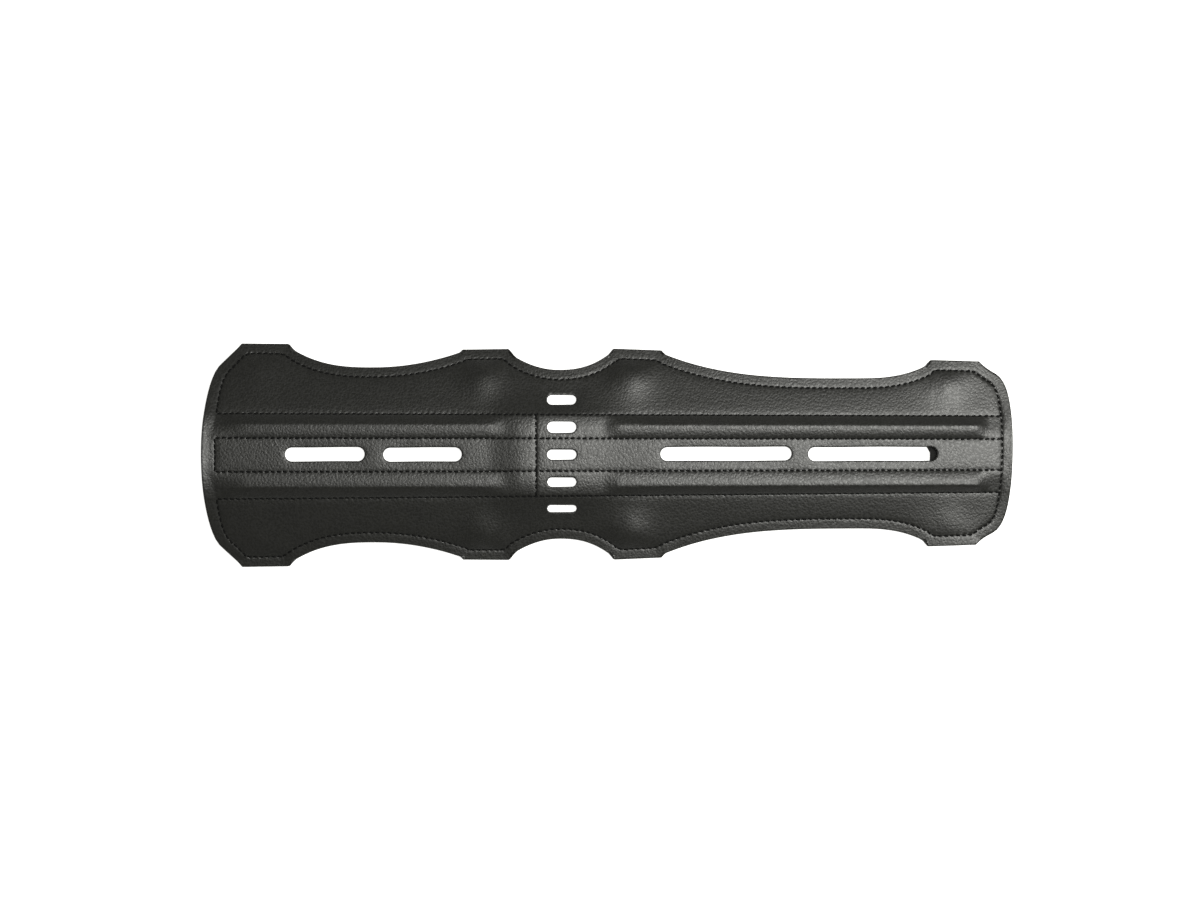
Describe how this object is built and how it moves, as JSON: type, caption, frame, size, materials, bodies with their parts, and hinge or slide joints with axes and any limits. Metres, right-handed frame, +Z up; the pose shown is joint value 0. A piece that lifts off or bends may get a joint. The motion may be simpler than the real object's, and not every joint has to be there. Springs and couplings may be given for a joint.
{
  "type": "archery arm guard",
  "caption": "Full-length archery arm guard: padded black leather face with ribs, vent slots, scalloped edges and strap ears, sewn to a thin backing and lying face up.",
  "frame": {"origin": "centre of the bounding box on the table that the guard lies on", "axes": "+X along the arm from the upper-arm end to the wrist end, +Y across the guard, +Z up, out of the face"},
  "size_m": [0.34, 0.094, 0.0145],
  "materials": {
    "face_leather": "black synthetic leather with a fine embossed grain, satin",
    "backing_cloth": "black brushed lining cloth, matt"
  },
  "bodies": {
    "root": {"face": "face_leather", "backing": "backing_cloth"}
  },
  "joints": []
}
